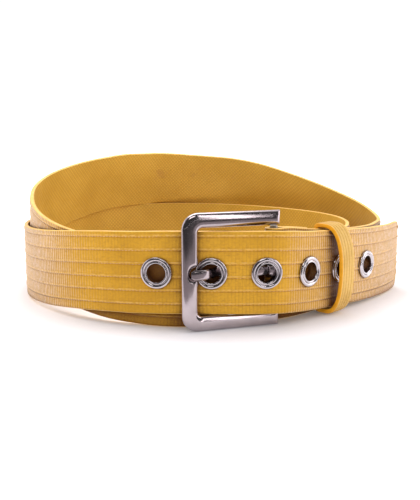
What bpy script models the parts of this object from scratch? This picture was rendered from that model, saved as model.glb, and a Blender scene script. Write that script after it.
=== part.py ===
"""Coiled pin-buckle belt: one long strap stood on its edge in two turns, closed by a prong buckle.

Metres, +Z up, X to the right, Y to the back.  The strap's tip, the frame and the prong face -Y.
Lengths below are in millimetres and are turned into metres where the meshes are made.
"""
import math

import bmesh
import bpy
from mathutils import Matrix, Vector

MM = 0.001

# Strap
STRAP_WIDTH = 40.0
STRAP_THICK = 2.5
STRAP_STEP = 6.0
TIP_CORNER = 3.0

# Ring of turns: polar stations are taken about this point
TURN_CENTRE = (0.0, 103.0)

# Point of the drawing that becomes the origin: under the middle of the whole belt
ORIGIN = Vector((1.05, 101.08, 0.0))

# Buckle
BAR_X = 30.6
BAR_Y = 12.2
BAR_RADIUS = 1.9
FRAME_TILT = math.radians(19.0)
FRAME_HEIGHT = 56.5
FRAME_REACH = 46.3
FRAME_TAIL = 3.0
FRAME_THICK = 3.8
FRAME_SIDE = 7.8
FRAME_ARM = 7.2
FRAME_CORNER = 8.0
NOTCH_DEPTH = 5.2
NOTCH_HEIGHT = 6.5
BUCKLE_Z = 27.6
PRONG_WIDTH = 4.8
PRONG_THICK = 2.2
PRONG_TIP = 2.8
SLOT_HEIGHT = 6.8

# Fold of the strap round the crossbar
FOLD_RADIUS = BAR_RADIUS + 0.3 + STRAP_THICK / 2.0
FOLD_FROM = 92.0
FOLD_TO = 312.0
FOLD_STEPS = 14

# Eyelets
EYELET_PITCH = 26.0
EYELET_COUNT = 6
EYELET_START_X = -25.2
EYELET_HOLE = 4.6
EYELET_TUBE = 5.1
EYELET_FLANGE = 7.6
EYELET_RISE = 1.3
EYELET_BACK = 6.8
EYELET_BACK_GAP = 0.8
EYELET_WASHER = 0.5
STRAP_HOLE = 5.5
EYELET_SIDES = 32

# Rivets that hold the folded end
RIVET_POST = 1.9
RIVET_HEAD = 4.0
RIVET_RISE = 12.0

# Keeper loop
KEEPER_THICK = 2.2
KEEPER_WIDTH = 11.0
KEEPER_BOW = 6.5
KEEPER_AT = (64.2, 33.4)
KEEPER_HEADING = math.radians(46.4)

# Stations of the strap's middle line: x, y, height of the lower edge, inward lean in degrees
FLAP = (
    (48.0, 27.5, 5.9, 0.0),
    (43.4, 23.3, 6.8, 0.0),
    (39.2, 19.5, 7.5, 0.0),
    (36.7, 17.4, 7.8, 0.0),
    (34.0, 16.0, 8.0, 0.0),
)
OUTGOING = (
    (38.4, 14.6, 7.8, 0.0),
    (44.2, 19.9, 6.8, 0.0),
    (50.1, 25.3, 5.6, 0.0),
    (56.0, 31.2, 4.6, 0.0),
    (62.0, 37.4, 3.8, 0.0),
    (69.9, 45.9, 3.0, 0.0),
    (77.6, 54.8, 2.2, 0.0),
    (84.3, 64.5, 1.5, 0.0),
    (91.0, 74.5, 1.0, 0.0),
    (97.0, 86.5, 0.9, 0.0),
)
# Polar stations: angle round the turn from the front, radius, height of the lower edge, lean
RAISED_TURN = (
    (87.0, 101.8, 1.4, 0.0),
    (98.0, 104.4, 3.6, 1.5),
    (109.0, 105.6, 7.8, 4.0),
    (120.0, 105.2, 12.8, 7.0),
    (132.0, 104.2, 18.8, 10.0),
    (145.0, 103.2, 25.4, 13.0),
    (157.0, 102.6, 31.2, 15.5),
    (169.0, 102.2, 35.7, 18.0),
    (180.0, 102.4, 38.2, 20.0),
    (189.0, 103.4, 39.6, 21.0),
    (197.0, 103.9, 40.7, 21.5),
    (205.0, 104.2, 40.95, 21.5),
    (213.0, 104.0, 40.45, 20.5),
    (221.0, 103.8, 39.2, 19.0),
    (231.0, 104.2, 36.8, 16.5),
    (241.0, 104.9, 33.9, 13.0),
    (252.0, 105.8, 30.0, 9.0),
    (263.0, 106.6, 25.6, 5.5),
    (274.0, 106.6, 20.4, 2.5),
    (285.0, 105.4, 14.8, 1.0),
    (296.0, 103.6, 10.0, 0.0),
    (307.0, 101.5, 6.2, 0.0),
    (318.0, 99.5, 3.5, 0.0),
    (329.0, 98.3, 1.3, 0.0),
    (340.0, 97.3, 0.2, 0.0),
)
GROUND_FRONT = (
    (-22.0, 8.6, 0.0, 0.0),
    (-11.0, 7.6, 0.0, 0.0),
    (0.0, 8.4, 0.0, 0.0),
    (10.0, 10.8, 0.0, 0.0),
    (20.0, 14.2, 0.0, 0.0),
    (30.0, 19.6, 0.0, 0.0),
    (39.2, 25.2, 0.0, 0.0),
    (47.5, 32.0, 0.0, 0.0),
    (55.0, 39.8, 0.0, 0.0),
    (62.3, 48.6, 0.0, 0.0),
    (69.0, 58.5, 0.0, 0.0),
    (74.8, 69.2, 0.0, 0.0),
    (79.2, 80.4, 0.0, 0.0),
    (81.7, 91.8, 0.0, 0.0),
)
GROUND_TURN = (
    (90.0, 82.6, 0.0, 0.0),
    (100.0, 82.6, 0.0, 0.0),
    (110.0, 82.3, 0.0, 0.0),
    (120.0, 81.9, 0.0, 0.0),
    (132.0, 81.8, 0.0, 0.0),
    (145.0, 82.8, 0.0, 0.0),
    (157.0, 85.4, 0.0, 0.0),
    (169.0, 89.6, 0.0, 0.0),
    (180.0, 94.0, 0.0, 0.0),
    (190.0, 98.0, 0.0, 0.0),
    (200.0, 101.7, 0.0, 0.0),
    (210.0, 104.8, 0.0, 0.0),
    (220.0, 107.1, 0.0, 0.0),
    (230.0, 108.4, 0.0, 0.0),
    (241.0, 109.1, 0.0, 0.0),
    (252.0, 109.5, 0.0, 0.0),
    (263.0, 109.8, 0.0, 0.0),
    (274.0, 109.6, 0.0, 0.0),
    (285.0, 108.4, 0.5, 0.0),
    (296.0, 106.9, 1.4, 0.0),
    (307.0, 105.3, 2.8, 0.0),
    (318.0, 103.8, 4.6, 0.0),
    (329.0, 102.4, 6.0, 0.0),
    (340.0, 101.6, 6.9, 0.0),
)
TIP_RUN = (
    (-24.0, 4.9, 7.4, 0.0),
    (-12.0, 3.4, 7.6, 0.0),
    (0.0, 2.8, 7.6, 0.0),
    (12.0, 2.7, 7.6, 0.0),
    (22.0, 3.1, 7.6, 0.0),
    (29.6, 4.1, 7.5, 0.0),
    (35.6, 6.8, 7.0, 0.0),
    (41.2, 11.1, 6.4, 0.0),
    (47.1, 16.4, 5.6, 0.0),
    (53.1, 22.0, 5.0, 0.0),
    (59.1, 28.0, 4.4, 0.0),
    (65.1, 34.3, 3.8, 0.0),
    (73.1, 42.8, 3.0, 0.0),
    (81.1, 51.5, 2.2, 0.0),
    (89.0, 60.8, 1.5, 0.0),
    (97.0, 71.3, 0.9, 0.0),
    (104.2, 82.4, 0.4, 0.0),
    (112.0, 96.4, 0.2, 0.0),
)

# Middle line of the prong in plan, from the crossbar to its tip
PRONG_LINE = (
    (27.3, 9.3),
    (24.0, 8.1),
    (19.0, 7.4),
    (13.5, 7.1),
    (9.0, 7.0),
    (6.0, 6.9),
    (4.3, 6.6),
    (3.0, 5.7),
    (2.1, 4.4),
    (0.8, 2.5),
    (-0.4, 0.6),
    (-1.4, -0.8),
    (-2.9, -2.0),
    (-5.2, -2.8),
    (-7.2, -3.2),
    (-8.7, -3.5),
)


def clear_scene():
    for item in list(bpy.data.objects):
        bpy.data.objects.remove(item, do_unlink=True)


def material(name, colour, roughness, metallic):
    slot = bpy.data.materials.new(name)
    slot.use_nodes = True
    shader = slot.node_tree.nodes["Principled BSDF"]
    shader.inputs["Base Color"].default_value = (*colour, 1.0)
    shader.inputs["Roughness"].default_value = roughness
    shader.inputs["Metallic"].default_value = metallic
    slot.diffuse_color = (*colour, 1.0)
    return slot


def placed(point):
    """Drawing point in mm as a position in metres."""
    return (Vector(point) - ORIGIN) * MM


def link(name, mesh, slot, origin=None):
    """Make an object whose origin is at the given point, in mm, with the mesh moved to suit."""
    pivot = placed(ORIGIN if origin is None else origin)
    mesh.transform(Matrix.Translation(-pivot))
    item = bpy.data.objects.new(name, mesh)
    item.location = pivot
    mesh.materials.append(slot)
    bpy.context.collection.objects.link(item)
    return item


def mesh_from(name, points, faces):
    mesh = bpy.data.meshes.new(name)
    mesh.from_pydata([placed(p) for p in points], [], faces)
    mesh.update()
    shape = bmesh.new()
    shape.from_mesh(mesh)
    bmesh.ops.recalc_face_normals(shape, faces=shape.faces)
    shape.to_mesh(mesh)
    shape.free()
    return mesh


def polar(stations):
    """Turn polar stations into x, y stations."""
    result = []
    for angle, radius, height, lean in stations:
        turn = math.radians(angle)
        x = TURN_CENTRE[0] + radius * math.sin(turn)
        y = TURN_CENTRE[1] - radius * math.cos(turn)
        result.append((x, y, height, lean))
    return result


def fold_arc():
    """Stations round the crossbar, from the flap side to the outgoing side."""
    result = []
    for i in range(FOLD_STEPS + 1):
        turn = math.radians(FOLD_FROM + (FOLD_TO - FOLD_FROM) * i / FOLD_STEPS)
        x = BAR_X + FOLD_RADIUS * math.cos(turn)
        y = BAR_Y + FOLD_RADIUS * math.sin(turn)
        result.append((x, y, 8.0, 0.0))
    return result


def smooth_through(stations):
    """Centripetal Catmull-Rom curve through the stations, sampled about every STRAP_STEP."""
    pts = [Vector(s) for s in stations]
    pts = [pts[0] * 2.0 - pts[1]] + pts + [pts[-1] * 2.0 - pts[-2]]
    result = []
    for i in range(1, len(pts) - 2):
        p0, p1, p2, p3 = pts[i - 1], pts[i], pts[i + 1], pts[i + 2]
        t1 = math.hypot(p1[0] - p0[0], p1[1] - p0[1]) ** 0.5
        t2 = t1 + math.hypot(p2[0] - p1[0], p2[1] - p1[1]) ** 0.5
        t3 = t2 + math.hypot(p3[0] - p2[0], p3[1] - p2[1]) ** 0.5
        span = math.hypot(p2[0] - p1[0], p2[1] - p1[1])
        steps = max(1, round(span / STRAP_STEP))
        for k in range(steps):
            t = t1 + (t2 - t1) * k / steps
            a1 = p0 * ((t1 - t) / t1) + p1 * (t / t1)
            a2 = p1 * ((t2 - t) / (t2 - t1)) + p2 * ((t - t1) / (t2 - t1))
            a3 = p2 * ((t3 - t) / (t3 - t2)) + p3 * ((t - t2) / (t3 - t2))
            b1 = a1 * ((t2 - t) / t2) + a2 * (t / t2)
            b2 = a2 * ((t3 - t) / (t3 - t1)) + a3 * ((t - t1) / (t3 - t1))
            result.append(b1 * ((t2 - t) / (t2 - t1)) + b2 * ((t - t1) / (t2 - t1)))
    result.append(Vector(stations[-1]))
    for point in result:
        point[2] = max(point[2], 0.0)
    return result


def strap_path():
    stations = list(FLAP) + fold_arc() + list(OUTGOING) + polar(RAISED_TURN)
    stations += list(GROUND_FRONT) + polar(GROUND_TURN) + list(TIP_RUN)
    return smooth_through(stations)


def headings(path):
    result = []
    for i in range(len(path)):
        a = path[max(0, i - 1)]
        b = path[min(len(path) - 1, i + 1)]
        along = Vector((b[0] - a[0], b[1] - a[1], b[2] - a[2]))
        result.append(along.normalized())
    return result


def section_axes(along, lean):
    """Up and inward directions of the strap at one station; inward is to the left of travel."""
    level = Vector((along[0], along[1], 0.0)).normalized()
    inward = Vector((-level[1], level[0], 0.0))
    tilt = math.radians(lean)
    up = inward * math.sin(tilt) + Vector((0.0, 0.0, math.cos(tilt)))
    side = inward * math.cos(tilt) - Vector((0.0, 0.0, math.sin(tilt)))
    return up, side


def strap_mesh(path):
    along = headings(path)
    points = []
    faces = []
    half = STRAP_THICK / 2.0
    last = len(path) - 1
    for i, station in enumerate(path):
        up, side = section_axes(along[i], station[3])
        foot = Vector((station[0], station[1], station[2]))
        trim = 0.0
        if i == last:
            trim = TIP_CORNER
        low = foot + up * trim
        high = foot + up * (STRAP_WIDTH - trim)
        points += [low - side * half, low + side * half, high + side * half, high - side * half]
    for i in range(last):
        a = 4 * i
        for k in range(4):
            n = (k + 1) % 4
            faces.append((a + k, a + 4 + k, a + 4 + n, a + n))
    faces.append((0, 1, 2, 3))
    end = 4 * last
    faces.append((end + 3, end + 2, end + 1, end))
    return mesh_from("strap", points, faces)


def arc_lengths(path):
    total = [0.0]
    for a, b in zip(path, path[1:]):
        total.append(total[-1] + math.hypot(b[0] - a[0], b[1] - a[1]))
    return total


def at_length(path, lengths, s):
    """Point, heading and lower edge height of the middle line at one length along it."""
    for i in range(len(path) - 1):
        if lengths[i + 1] >= s:
            break
    mix = (s - lengths[i]) / (lengths[i + 1] - lengths[i])
    point = path[i].lerp(path[i + 1], mix)
    flat = Vector((path[i + 1][0] - path[i][0], path[i + 1][1] - path[i][1], 0.0)).normalized()
    return Vector((point[0], point[1], point[2] + STRAP_WIDTH / 2.0)), flat


def eyelet_frames(path):
    """Centre and outward direction of each eyelet, counted towards the strap's tip."""
    lengths = arc_lengths(path)
    start = 0.0
    for i in range(len(path) - 60, len(path)):
        if path[i][1] < 12.0 and path[i][0] >= EYELET_START_X:
            mix = (EYELET_START_X - path[i - 1][0]) / (path[i][0] - path[i - 1][0])
            start = lengths[i - 1] + mix * (lengths[i] - lengths[i - 1])
            break
    result = []
    for k in range(EYELET_COUNT):
        s = start + k * EYELET_PITCH
        centre, _ = at_length(path, lengths, s)
        before, _ = at_length(path, lengths, s - 5.0)
        after, _ = at_length(path, lengths, s + 5.0)
        flat = Vector((after[0] - before[0], after[1] - before[1], 0.0)).normalized()
        outward = Vector((flat[1], -flat[0], 0.0))
        centre = (centre * 2.0 + before + after) / 4.0
        result.append((centre, outward))
    return result


def ring_mesh(name, profile, centre, axis, sides):
    """Turn a closed (radius, height) profile round the axis through the centre."""
    turn = axis.to_track_quat("Z", "Y").to_matrix()
    points = []
    faces = []
    count = len(profile)
    for i in range(sides):
        angle = 2.0 * math.pi * i / sides
        for radius, height in profile:
            local = Vector((radius * math.cos(angle), radius * math.sin(angle), height))
            points.append(centre + turn @ local)
    for i in range(sides):
        j = (i + 1) % sides
        for k in range(count):
            n = (k + 1) % count
            faces.append((i * count + k, j * count + k, j * count + n, i * count + n))
    return mesh_from(name, points, faces)


def eyelet_profile():
    """Eyelet section: domed flange outside and a tube through the strap."""
    face = STRAP_THICK / 2.0 + 0.3
    back = -(STRAP_THICK / 2.0 + EYELET_BACK_GAP + EYELET_WASHER)
    return (
        (EYELET_HOLE, back),
        (EYELET_HOLE, face + 0.5),
        (EYELET_HOLE + 0.4, face + EYELET_RISE - 0.5),
        (EYELET_HOLE + 0.9, face + EYELET_RISE - 0.3),
        (EYELET_HOLE + 1.4, face + EYELET_RISE - 0.1),
        (EYELET_FLANGE - 1.0, face + EYELET_RISE - 0.2),
        (EYELET_FLANGE - 0.3, face + 0.6),
        (EYELET_FLANGE, face),
        (EYELET_TUBE, face),
        (EYELET_TUBE, back),
    )


def washer_profile():
    """Washer section: a flat ring on the strap's inner side, round the eyelet's tube."""
    front = -(STRAP_THICK / 2.0 + EYELET_BACK_GAP)
    return (
        (EYELET_TUBE + 0.3, front),
        (EYELET_TUBE + 0.3, front - EYELET_WASHER),
        (EYELET_BACK - 0.2, front - EYELET_WASHER),
        (EYELET_BACK, front),
    )


def cylinder_cutter(name, centre, axis, radius, length):
    shape = bmesh.new()
    bmesh.ops.create_cone(
        shape,
        cap_ends=True,
        segments=EYELET_SIDES,
        radius1=radius * MM,
        radius2=radius * MM,
        depth=length * MM,
    )
    mesh = bpy.data.meshes.new(name)
    turn = axis.to_track_quat("Z", "Y").to_matrix().to_4x4()
    shape.transform(Matrix.Translation(placed(centre)) @ turn)
    shape.to_mesh(mesh)
    shape.free()
    return hidden(name, mesh)


def hidden(name, mesh):
    cutter = bpy.data.objects.new(name, mesh)
    bpy.context.collection.objects.link(cutter)
    cutter.hide_render = True
    cutter.display_type = "WIRE"
    return cutter


def box_cutter(name, centre, size, turn=0.0):
    shape = bmesh.new()
    bmesh.ops.create_cube(shape, size=1.0)
    scale = Matrix.Diagonal((size[0] * MM, size[1] * MM, size[2] * MM, 1.0))
    place = Matrix.Translation(placed(centre)) @ Matrix.Rotation(turn, 4, "Z")
    shape.transform(place @ scale)
    mesh = bpy.data.meshes.new(name)
    shape.to_mesh(mesh)
    shape.free()
    return hidden(name, mesh)


def cut(item, cutter):
    step = item.modifiers.new("cut_" + cutter.name, "BOOLEAN")
    step.operation = "DIFFERENCE"
    step.solver = "EXACT"
    step.object = cutter


def smooth(item, angle=35.0):
    mesh = item.data
    mesh.shade_smooth()
    mesh.set_sharp_from_angle(angle=math.radians(angle))


def prism(name, outline, low, high):
    """Upright prism over an outline in plan."""
    count = len(outline)
    points = [(x, y, low) for x, y in outline] + [(x, y, high) for x, y in outline]
    faces = [tuple(range(count - 1, -1, -1)), tuple(range(count, 2 * count))]
    for k in range(count):
        n = (k + 1) % count
        faces.append((k, n, count + n, count + k))
    return mesh_from(name, points, faces)


def band(line, half):
    """Outline of a constant-width band along a plan line."""
    left = []
    right = []
    for i, (x, y) in enumerate(line):
        a = line[max(0, i - 1)]
        b = line[min(len(line) - 1, i + 1)]
        run = math.hypot(b[0] - a[0], b[1] - a[1])
        nx = -(b[1] - a[1]) / run
        ny = (b[0] - a[0]) / run
        left.append((x + nx * half, y + ny * half))
        right.append((x - nx * half, y - ny * half))
    return left, right


def prong_mesh():
    """Prong: a bent bar that opens into an eye round the crossbar and narrows at its tip."""
    left, right = band(PRONG_LINE, PRONG_THICK / 2.0)
    outer = BAR_RADIUS + 0.3 + 2.0
    start = math.atan2(right[0][1] - BAR_Y, right[0][0] - BAR_X)
    stop = math.atan2(left[0][1] - BAR_Y, left[0][0] - BAR_X)
    if stop > start:
        stop -= 2.0 * math.pi
    steps = 20
    plan = []
    for i in range(steps + 1):
        turn = start + (stop - start) * i / steps
        plan.append((BAR_X + outer * math.cos(turn), BAR_Y + outer * math.sin(turn)))
    pairs = [(0, steps)]
    for k in range(1, len(PRONG_LINE)):
        pairs.append((len(plan), len(plan) + 1))
        plan += [right[k], left[k]]
    count = len(plan)
    tip = pairs[-1]
    points = []
    for sign in (-1.0, 1.0):
        for k, (x, y) in enumerate(plan):
            half = PRONG_WIDTH / 2.0
            if k in tip:
                half = PRONG_TIP / 2.0
            points.append((x, y, BUCKLE_Z + sign * half))
    faces = []
    for level in (0, count):
        faces.append(tuple(level + k for k in range(steps + 1)))
        for (a, b), (c, d) in zip(pairs, pairs[1:]):
            faces.append((level + a, level + b, level + d, level + c))
    for k in range(steps):
        faces.append((k, k + 1, count + k + 1, count + k))
    for (a, b), (c, d) in zip(pairs, pairs[1:]):
        faces.append((a, c, count + c, count + a))
        faces.append((b, d, count + d, count + b))
    faces.append((tip[0], tip[1], count + tip[1], count + tip[0]))
    return mesh_from("prong", points, faces)


def frame_mesh():
    """Frame in its own plane: a far bar and two arms, open towards the crossbar side."""
    half = FRAME_HEIGHT / 2.0
    left = -FRAME_REACH
    right = FRAME_TAIL
    small = 1.6
    outline = []

    def corner(cx, cz, radius, start):
        for i in range(7):
            turn = math.radians(start + 90.0 * i / 6.0)
            outline.append((cx + radius * math.cos(turn), cz + radius * math.sin(turn)))

    inner = left + FRAME_SIDE
    clear = half - FRAME_ARM
    corner(right - small, half - small, small, 0.0)
    corner(left + FRAME_CORNER, half - FRAME_CORNER, FRAME_CORNER, 90.0)
    corner(left + FRAME_CORNER, -half + FRAME_CORNER, FRAME_CORNER, 180.0)
    corner(right - small, -half + small, small, 270.0)
    outline.append((right, -clear))
    for i in range(5):
        turn = math.radians(270.0 - 90.0 * i / 4.0)
        outline.append((inner + 2.5 + 2.5 * math.cos(turn), -clear + 2.5 + 2.5 * math.sin(turn)))
    lip = NOTCH_HEIGHT / 2.0
    outline.append((inner, -lip))
    for i in range(9):
        turn = math.radians(270.0 - 180.0 * i / 8.0)
        x = inner - NOTCH_DEPTH + lip + lip * math.cos(turn)
        outline.append((x, lip * math.sin(turn)))
    outline.append((inner, lip))
    for i in range(5):
        turn = math.radians(180.0 - 90.0 * i / 4.0)
        outline.append((inner + 2.5 + 2.5 * math.cos(turn), clear - 2.5 + 2.5 * math.sin(turn)))
    outline.append((right, clear))
    mesh = prism("buckle_frame", outline, -FRAME_THICK / 2.0, FRAME_THICK / 2.0)
    mesh.transform(Matrix.Translation(ORIGIN * MM))
    stand = Matrix.Rotation(math.radians(90.0), 4, "X")
    place = Matrix.Translation(placed((BAR_X, BAR_Y, half)))
    mesh.transform(place @ Matrix.Rotation(FRAME_TILT, 4, "Z") @ stand)
    return mesh


def keeper_section():
    """Inner and outer outline of the keeper across the strap: (outward, height) pairs."""
    inner = []
    outer = []
    top = STRAP_WIDTH / 2.0 + 1.4
    back = -(STRAP_THICK * 1.5 + 1.85 + 0.8)
    middle = -2.2
    steps = 16
    for i in range(steps + 1):
        turn = math.radians(90.0 - 180.0 * i / steps)
        bow = abs(math.cos(turn)) ** 0.62
        lift = math.copysign(abs(math.sin(turn)) ** 0.67, math.sin(turn))
        inner.append((middle + (KEEPER_BOW - middle) * bow, top * lift))
        reach = KEEPER_BOW + KEEPER_THICK - middle
        outer.append((middle + reach * bow, (top + KEEPER_THICK) * lift))
    for side in (-1.0, 1.0):
        for i in range(6):
            turn = math.radians(90.0 * i / 5.0)
            if side > 0.0:
                turn = math.radians(90.0) - turn
            rise = top - 1.2 + 1.2 * math.cos(turn)
            inner.append((back + 1.2 - 1.2 * math.sin(turn), side * rise))
            reach = 1.2 + KEEPER_THICK
            rise = top - 1.2 + reach * math.cos(turn)
            outer.append((back + 1.2 - reach * math.sin(turn), side * rise))
    return inner, outer


def keeper_mesh(height):
    inner, outer = keeper_section()
    flat = Vector((math.cos(KEEPER_HEADING), math.sin(KEEPER_HEADING), 0.0))
    outward = Vector((flat[1], -flat[0], 0.0))
    centre = Vector((KEEPER_AT[0], KEEPER_AT[1], height))
    count = len(inner)
    points = []
    for shift in (-KEEPER_WIDTH / 2.0, KEEPER_WIDTH / 2.0):
        for loop in (inner, outer):
            for out, rise in loop:
                points.append(centre + flat * shift + outward * out + Vector((0.0, 0.0, rise)))
    faces = []
    for k in range(count):
        n = (k + 1) % count
        faces.append((k, n, count + n, count + k))
        faces.append((2 * count + k, 3 * count + k, 3 * count + n, 2 * count + n))
        faces.append((k, 2 * count + k, 2 * count + n, n))
        faces.append((count + k, count + n, 3 * count + n, 3 * count + k))
    return mesh_from("keeper", points, faces)


def rivet_frames(path):
    """Centre and outward direction of the pair of rivets, midway between the two layers."""
    fore = Vector((41.3, 17.2, 0.0))
    rear = Vector((39.2, 19.5, 0.0))
    outward = (fore - rear).normalized()
    middle = (fore + rear) / 2.0
    reach = (fore - rear).length / 2.0
    result = []
    for rise in (-RIVET_RISE, RIVET_RISE):
        result.append((middle + Vector((0.0, 0.0, 27.8 + rise)), outward))
    return result, reach


def lathe_mesh(name, rim, centre, outward, sides=20):
    """Solid turned round the axis: the rim runs from one end face to the other."""
    turn = outward.to_track_quat("Z", "Y").to_matrix()
    points = []
    faces = []
    for i in range(sides):
        angle = 2.0 * math.pi * i / sides
        for radius, height in rim:
            local = Vector((radius * math.cos(angle), radius * math.sin(angle), height))
            points.append(centre + turn @ local)
    count = len(rim)
    for i in range(sides):
        j = (i + 1) % sides
        for k in range(count - 1):
            faces.append((i * count + k, j * count + k, j * count + k + 1, i * count + k + 1))
    faces.append(tuple(i * count for i in range(sides)))
    faces.append(tuple(i * count + count - 1 for i in range(sides)))
    return mesh_from(name, points, faces)


def rivet_rims(reach):
    """Turned outlines of the two halves: the post with its head, and the cap behind the flap."""
    face = reach + STRAP_THICK / 2.0 + 0.4
    post = (
        (RIVET_POST, -face + 0.1),
        (RIVET_POST, face),
        (RIVET_HEAD, face),
        (RIVET_HEAD - 0.4, face + 0.7),
    )
    cap = (
        (RIVET_HEAD - 0.4, -face - 0.9),
        (RIVET_HEAD, -face - 0.2),
    )
    return (("rivet_post", post), ("rivet_cap", cap))


def build():
    clear_scene()
    webbing = material("strap_webbing", (0.60, 0.34, 0.05), 0.7, 0.0)
    loop = material("keeper_webbing", (0.62, 0.36, 0.06), 0.65, 0.0)
    steel = material("buckle_steel", (0.55, 0.53, 0.52), 0.3, 1.0)
    bright = material("eyelet_steel", (0.68, 0.66, 0.66), 0.2, 1.0)
    dark = material("rivet_steel", (0.40, 0.39, 0.38), 0.35, 1.0)

    path = strap_path()
    strap = link("strap", strap_mesh(path), webbing)
    places = eyelet_frames(path)
    for k, (centre, outward) in enumerate(places):
        cut(strap, cylinder_cutter("eyelet_bore_%d" % (k + 1), centre, outward, STRAP_HOLE, 7.0))
    rivets, reach = rivet_frames(path)
    for k, (centre, outward) in enumerate(rivets):
        cut(strap, cylinder_cutter("rivet_bore_%d" % (k + 1), centre, outward, RIVET_POST + 0.35, 7.4))
    slot_at = (BAR_X - 1.2, BAR_Y + 0.3, BUCKLE_Z)
    cut(strap, box_cutter("prong_slot", slot_at, (11.0, 11.0, SLOT_HEIGHT), FRAME_TILT))

    for k, (centre, outward) in enumerate(places):
        for stem, profile in (("eyelet", eyelet_profile()), ("eyelet_washer", washer_profile())):
            name = "%s_%d" % (stem, k + 1)
            ring = link(name, ring_mesh(name, profile, centre, outward, EYELET_SIDES), bright)
            smooth(ring)
    for k, (centre, outward) in enumerate(rivets):
        for stem, rim in rivet_rims(reach):
            name = "%s_%d" % (stem, k + 1)
            half = link(name, lathe_mesh(name, rim, centre, outward), dark)
            smooth(half)

    hinge = (BAR_X, BAR_Y, BUCKLE_Z)
    frame = link("buckle_frame", frame_mesh(), steel, hinge)
    edge = frame.modifiers.new("eased_edges", "BEVEL")
    edge.width = 0.7 * MM
    edge.segments = 2
    edge.limit_method = "ANGLE"
    edge.angle_limit = math.radians(60.0)
    smooth(frame)

    bar_length = FRAME_HEIGHT - 2.0 * FRAME_ARM - 0.6
    bar = bmesh.new()
    bmesh.ops.create_cone(
        bar,
        cap_ends=True,
        segments=20,
        radius1=BAR_RADIUS * MM,
        radius2=BAR_RADIUS * MM,
        depth=bar_length * MM,
    )
    bar_mesh = bpy.data.meshes.new("crossbar")
    bar.transform(Matrix.Translation(placed((BAR_X, BAR_Y, FRAME_HEIGHT / 2.0))))
    bar.to_mesh(bar_mesh)
    bar.free()
    rod = link("crossbar", bar_mesh, steel, hinge)
    smooth(rod)

    prong = link("prong", prong_mesh(), steel, hinge)
    eye_at = Vector((BAR_X, BAR_Y, BUCKLE_Z))
    eye = cylinder_cutter("prong_eye", eye_at, Vector((0.0, 0.0, 1.0)), BAR_RADIUS + 0.3, 10.0)
    cut(prong, eye)
    smooth(prong)

    keeper_z = 4.0 + STRAP_WIDTH / 2.0
    keeper = link("keeper", keeper_mesh(keeper_z), loop, (KEEPER_AT[0], KEEPER_AT[1], keeper_z))
    smooth(keeper)


build()
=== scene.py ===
"""Looks of a coiled pin-buckle belt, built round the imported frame. Metres, in the row frame.

Lengths in the tables and builders are in millimetres of the drawing.
mm() turns them into the row frame.
"""
import math

import bmesh
import bpy
import numpy as np
from mathutils import Matrix, Vector


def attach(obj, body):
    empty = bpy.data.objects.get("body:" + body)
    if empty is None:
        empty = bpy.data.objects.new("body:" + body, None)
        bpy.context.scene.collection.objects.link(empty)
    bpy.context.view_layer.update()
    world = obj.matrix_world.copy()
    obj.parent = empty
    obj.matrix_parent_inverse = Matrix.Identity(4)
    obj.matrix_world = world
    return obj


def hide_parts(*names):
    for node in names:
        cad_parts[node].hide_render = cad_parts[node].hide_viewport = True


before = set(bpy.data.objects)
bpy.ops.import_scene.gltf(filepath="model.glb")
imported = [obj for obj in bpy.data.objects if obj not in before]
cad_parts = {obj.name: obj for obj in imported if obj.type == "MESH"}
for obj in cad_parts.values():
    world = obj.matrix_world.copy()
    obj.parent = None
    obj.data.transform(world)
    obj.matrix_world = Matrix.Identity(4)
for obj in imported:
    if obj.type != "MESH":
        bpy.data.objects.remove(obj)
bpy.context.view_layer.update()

MM = 0.001
ORIGIN = np.array((1.05, 101.08, 0.0))

# Strap, as in the CAD source
STRAP_WIDTH = 40.0
STRAP_THICK = 2.5
CAD_STEP = 6.0
TURN_CENTRE = (0.0, 103.0)
BAR_X = 30.6
BAR_Y = 12.2
BAR_RADIUS = 1.9
FOLD_RADIUS = BAR_RADIUS + 0.3 + STRAP_THICK / 2.0
FOLD_FROM = 92.0
FOLD_TO = 312.0
FOLD_STEPS = 14

# Buckle, as in the CAD source but for the notch, which is tighter round the prong
FRAME_TILT = math.radians(19.0)
FRAME_HEIGHT = 56.5
FRAME_REACH = 46.3
FRAME_TAIL = 3.0
FRAME_THICK = 3.8
FRAME_SIDE = 7.8
FRAME_ARM = 7.2
FRAME_CORNER = 8.0
INNER_CORNER = 2.5
NOTCH_DEPTH = 3.9
NOTCH_HALF = 2.75
BUCKLE_Z = 27.6
PRONG_WIDTH = 4.8
PRONG_THICK = 2.2

# Eyelets and rivets
EYELET_PITCH = 26.0
EYELET_COUNT = 6
EYELET_START_X = -25.2
EYELET_TUBE = 5.1
EYELET_BACK_DEPTH = STRAP_THICK / 2.0 + 0.8 + 0.5
STRAP_HOLE = 5.5
RIVET_BORE = 2.25

# Keeper; its upper part leans back along the strap
KEEPER_THICK = 2.2
KEEPER_WIDTH = 11.0
KEEPER_BOW = 6.5
KEEPER_AT = (64.2, 33.4)
KEEPER_HEADING = math.radians(46.4)
KEEPER_Z = 24.0
KEEPER_SKEW = 2.0

# Studio, in metres of the row frame
WORLD_DIFFUSE = 0.9
FLOOR_FADE = (0.2, 0.55)
FLAG_EDGE = -0.275
FLAG_END = -0.155
FLAG_SIZE = 3.0
FLAG_RISE = 0.002
UPPER_ARM = (0.0097, -0.0957, 0.052)
CAMERA_AT = (-0.00105, -0.42208, 0.095)
CAMERA_PITCH = math.radians(9.88)

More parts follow.
